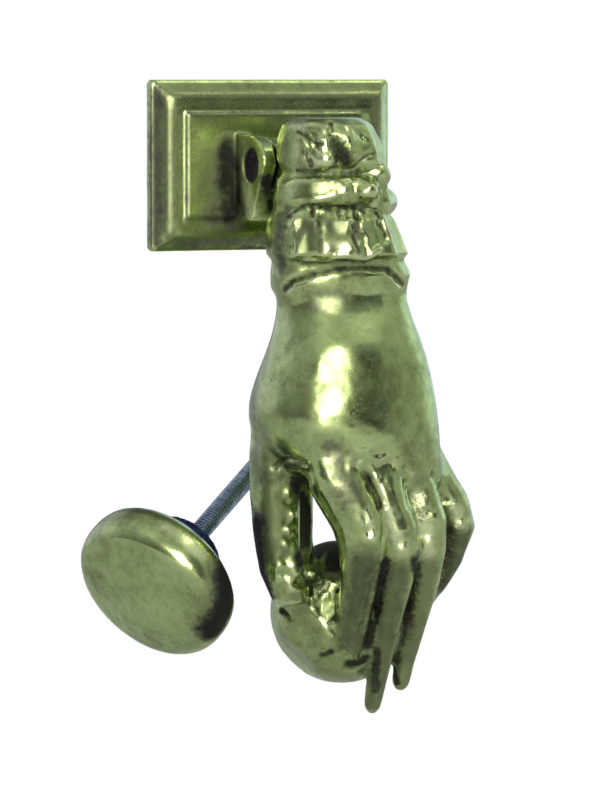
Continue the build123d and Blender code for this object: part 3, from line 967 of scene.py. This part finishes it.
handCast = {
    "side of the middle finger": ([(384, 562), (376, 600), (367, 645)], 3.2, 0.95),
    "side of the ring finger": ([(418, 556), (412, 590), (402, 640)], 3.2, 0.95),
    "side of the little finger": ([(449, 530), (446, 560), (440, 590)], 3.2, 0.80),
    "joint of thumb and ball": ([(304, 575), (318, 590)], 4.0, 0.50),
    "gap of index and middle": ([(368, 478), (382, 510)], 1.8, 0.70),
    "rough fold of the puffs": ([(340, 152), (348, 160)], 4.0, 0.80),
    "side of the frill": ([(283, 220), (282, 258)], 5.0, 0.50),
    "back of the ring finger": ([(414, 500), (420, 515)], 3.0, 0.40),
    "back of the little finger": ([(452, 510), (456, 522)], 3.0, 0.30),
}
cuffSide = [(288, 130), (281, 200), (281, 262)]     # filed matte

# stains with painted shade, dirt with painted shade, painted highlights, rough cast
skin.paintAll(skin.stain, handStainAndShade)
skin.paintAll(skin.dirt, handDirtAndShade, 0.6)
skin.paintAll(skin.shine, handPaintedHighlights)
skin.paintAll(skin.rough, handCast)
skin.paint(skin.matte, cuffSide, 4.5, 0.75, 0.4)
hand.data.materials.append(brass)
smoothShade(hand)
paintWearAndLight(hand, skin, shut)
keepInside(hand, "knocker_hand")
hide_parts("knocker_hand")
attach(hand, "hand")
print("hand done", len(hand.data.polygons))


# back plate with its cheeks

plateShape = {
    "voxel": 0.5 * mm,
    "smoothTurns": 2,
    "wave": 0.10,             # unevenness, in millimetres
    "bevelSoftness": 4.5,     # radius in millimetres
    "bevelTurns": 20,
    "shutReach": 0.012,
    "shutRays": 10,
    "left": 168,              # the moulding's crest, in pixels
    "right": 370,
    "top": 95,
    "bottom": 233,
}

plate, plateSkin = skinOf("back_plate", "brassPlate", plateShape)
plateSkin.lift(unevenness(plateSkin.points, 9.0, 21) * plateShape["wave"])
plateSkin.store()
plateSkin.roughen([(245, 190), (255, 214)], 4.5, 0.25, 1.7, 22)
plateSkin.groove([(240, 150), (246, 146), (252, 150)], 1.0, 0.3)
plateSkin.store()

topLeft = (plateShape["left"], plateShape["top"])
topRight = (plateShape["right"], plateShape["top"])
lowLeft = (plateShape["left"], plateShape["bottom"])
lowRight = (plateShape["right"], plateShape["bottom"])
for crest in [[topLeft, topRight], [topLeft, lowLeft], [lowLeft, lowRight], [topRight, lowRight]]:
    plateSkin.soften(crest, plateShape["bevelSoftness"], plateShape["bevelTurns"])
plateSkin.store()

# painted shade on the left and lower mouldings, the left crest and the panel's top edge; the right moulding
# and lower left corner darker
plateShadeAndStain = {
    "left moulding": ([(156, 92), (154, 238)], 3.8, 0.85),
    "edge of the panel": ([(188, 113), (372, 111)], 1.0, 0.75),
    "lower moulding": ([(180, 243), (265, 241)], 3.4, 0.75),
    "crest of the left moulding": ([(169, 106), (169, 232)], 3.6, 0.66),
    "right moulding": ([(375, 90), (380, 160)], 4.0, 0.45),
    "lower left corner": ([(150, 240), (160, 225)], 4.0, 0.5),
}
# painted shadow behind the hinge, and the lower rim darker
plateDarkMarks = {
    "behind the hinge": ([(268, 178), (268, 208)], 3.4, 0.9),
    "lower rim": ([(240, 249), (268, 249)], 1.6, 0.6),
}
plateShade = {     # even painted shade beside the cheek
    "along the cheek": ([(229, 150), (230, 212)], 7.0, 0.85),
    "under the cheek": ([(210, 216), (232, 214)], 6.0, 0.60),
}
cheekSide = [(245, 145), (249, 195), (250, 212)]

plateSkin.paintAll(plateSkin.stain, plateShadeAndStain)
plateSkin.paintAll(plateSkin.dirt, plateDarkMarks)
plateSkin.paintAll(plateSkin.dirt, plateShade, 0.15)
# painted shade on the panel beside the cheek and along the panel's left step; the top crest darker
plateSkin.paint(plateSkin.stain, [(222, 170), (226, 212)], 13.0, 0.65, 0.15)
plateSkin.paint(plateSkin.stain, [(187, 116), (187, 220)], 1.3, 0.70, 0.3)
plateSkin.dirt *= 1 - np.clip(2 * plateSkin.near(cheekSide, 6.0), 0, 1)     # the cheek's side stays free of this darkening
plateSkin.paint(plateSkin.stain, [topLeft, topRight], 1.6, 0.60, 0.3)
# a painted highlight on the cheek's side, which is also matte
plateSkin.paint(plateSkin.shine, [(247, 192), (250, 214)], 4.5, 1.0)
plateSkin.paint(plateSkin.matte, [(243, 148), (247, 192), (250, 214)], 7.0, 1.0, 0.2)
plate.data.materials.append(brass)
smoothShade(plate)
plateShut = closedIn(plate, plateShape["shutReach"], plateShape["shutRays"])
paintWearAndLight(plate, plateSkin, plateShut, grimeAndShadeGain=0.9, rubbedGain=0.35)
keepInside(plate, "back_plate")
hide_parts("back_plate")
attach(plate, "plate")
print("plate done", len(plate.data.polygons))


# hinge pin, its ends peened and rusted

pinShape = {
    "radius": 4.96 * mm,
    "length": 26.6 * mm,
    "depth": 16.2 * mm,
    "sides": 64,
    "bevel": 0.5 * mm,
    "voxel": 0.45 * mm,
    "endStart": 12.8 * mm,     # from the middle, the peened ends lie further out
    "grain": 2.4,              # millimetres
    "wave": 0.22,
    "sink": 0.28,
}

deselect()
bpy.ops.mesh.primitive_cylinder_add(
    vertices=pinShape["sides"],
    radius=pinShape["radius"],
    depth=pinShape["length"],
    location=(0, -pinShape["depth"], 0),
    rotation=(0, math.radians(90), 0),
)
pin = bpy.context.object
pin.name = "ironPin"
bpy.ops.object.transform_apply(location=True, rotation=True, scale=True)
applyModifier(pin, "BEVEL", width=pinShape["bevel"], segments=3,
              limit_method="ANGLE", angle_limit=math.radians(40))
applyModifier(pin, "REMESH", mode="VOXEL", voxel_size=pinShape["voxel"])
pinPoints = readPoints(pin)
pinNormals = readNormals(pin)
pinEnds = np.abs(pinPoints[:, 0]) > pinShape["endStart"]
pinLift = unevenness(pinPoints, pinShape["grain"], 31) * pinShape["wave"] - pinShape["sink"]
pinPoints += pinNormals * (np.where(pinEnds, pinLift, 0) * mm)[:, None]
writePoints(pin, pinPoints)
pin.data.materials.append(ironDark)
smoothShade(pin)
keepInside(pin, "hinge_pin")
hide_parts("hinge_pin")
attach(pin, "plate")
print("pin done")


# strike knob

knobShape = {
    "lean": 19.6,               # degrees that its stud leans back to the door
    "turn": 36.5,               # degrees that its stud rises to the right
    "voxel": 0.5 * mm,
    "smoothTurns": 24,
    "wave": 0.08,               # unevenness, in millimetres
    "neck": 7.2 * mm,           # the foot, coloured dark zinc as painted shade
    "shutReach": 0.010,
    "shutRays": 8,
}

knobLean = math.radians(knobShape["lean"])
knobTurn = math.radians(knobShape["turn"])
knobLevel = math.cos(knobLean)
knobWay = Vector((knobLevel * math.cos(knobTurn), math.sin(knobLean), knobLevel * math.sin(knobTurn)))
knob, knobSkin = skinOf("strike_knob", "brassKnob", knobShape)
knobSkin.lift(unevenness(knobSkin.points, 9.0, 41) * knobShape["wave"])
knobSkin.store()
knobSkin.carve({
    "left scratch": ("groove", [(110, 628), (118, 634)], 1.0, 0.3),
    "lower scratch": ("groove", [(157, 640), (170, 646)], 1.0, 0.25),
})
knobSkin.store()

# painted shade on the right rim, the lower rim darker, and a spot
knobStainAndShade = {
    "right rim": ([(219, 552), (223, 575), (224, 602), (214, 626)], 9.0, 1.0),
    "lower rim": ([(130, 642), (170, 652), (200, 640)], 3.0, 0.35),
    "spot": ([(150, 632), (160, 634)], 3.0, 0.35),
}
knobSkin.paintAll(knobSkin.stain, knobStainAndShade, 0.4)
# painted shade along the right rim, and a painted highlight on the upper right shoulder
knobSkin.paint(knobSkin.dirt, [(222, 550), (227, 575), (227, 602), (216, 628)], 8.5, 1.0, 0.35)
knobSkin.paint(knobSkin.shine, [(168, 527), (186, 538), (200, 553)], 3.4, 0.7)
knob.data.materials.append(brass)
# the foot's dark zinc is painted shade
knob.data.materials.append(zincPaintedShade)
knobAlong = knobSkin.points @ np.array(knobWay)
smoothShade(knob)
knobShut = closedIn(knob, knobShape["shutReach"], knobShape["shutRays"])
paintWearAndLight(knob, knobSkin, knobShut, rubbedGain=0.3)
# the foot takes the dark zinc of painted shade
for face in knob.data.polygons:
    if face.center.dot(knobWay) > knobAlong.max() - knobShape["neck"]:
        face.material_index = 1
keepInside(knob, "strike_knob")
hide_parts("strike_knob")
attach(knob, "plate")
print("knob done", len(knob.data.polygons))


# strike stud with its thread

studShape = {
    "radius": 2.95 * mm,
    "root": 2.42 * mm,
    "pitch": 1.0 * mm,
    "steps": 28,
    "endCut": 0.1 * mm,
    "crestAngle": 50,       # degrees, sharper edges stay sharp
}

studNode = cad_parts["strike_stud"]
studCorners = np.array([studNode.matrix_world @ v.co for v in studNode.data.vertices])
studAlong = studCorners @ np.array(knobWay)
studFoot = studCorners[studAlong < studAlong.min() + studShape["endCut"]].mean(axis=0)
studLength = studAlong.max() - studAlong.min()
studTurn = knobWay.to_track_quat("Z", "Y").to_matrix().to_4x4()
profile = [(studShape["root"], 0.0), (studShape["root"], 0.12), (studShape["radius"], 0.44),
           (studShape["radius"], 0.56), (studShape["root"], 0.88), (studShape["root"], 1.0)]
studTurns = int(studLength / studShape["pitch"]) + 2
studMesh = bpy.data.meshes.new("zincStud")
studMesh.from_pydata([(across, 0, (rise - 1.0) * studShape["pitch"]) for across, rise in profile],
                     [(step, step + 1) for step in range(len(profile) - 1)], [])
stud = bpy.data.objects.new("zincStud", studMesh)
bpy.context.collection.objects.link(stud)
applyModifier(stud, "SCREW", angle=math.radians(360), screw_offset=studShape["pitch"], iterations=studTurns,
              steps=studShape["steps"], render_steps=studShape["steps"],
              use_merge_vertices=True, merge_threshold=0.00001)
pickOnly(stud)
bpy.ops.object.mode_set(mode="EDIT")
bpy.ops.mesh.select_all(action="SELECT")
bpy.ops.mesh.bisect(plane_co=(0, 0, studShape["endCut"]), plane_no=(0, 0, 1), use_fill=True, clear_inner=True)
bpy.ops.mesh.select_all(action="SELECT")
bpy.ops.mesh.bisect(plane_co=(0, 0, studLength - studShape["endCut"]), plane_no=(0, 0, 1),
                    use_fill=True, clear_outer=True)
bpy.ops.mesh.select_all(action="SELECT")
bpy.ops.mesh.normals_make_consistent(inside=False)
bpy.ops.object.mode_set(mode="OBJECT")
stud.matrix_world = Matrix.Translation(Vector(studFoot)) @ studTurn
bpy.ops.object.transform_apply(location=True, rotation=True, scale=True)
stud.data.materials.append(zincSteel)
bpy.ops.object.shade_smooth_by_angle(angle=math.radians(studShape["crestAngle"]))
keepInside(stud, "strike_stud")
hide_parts("strike_stud")
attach(stud, "plate")
print("stud done", len(stud.data.polygons))
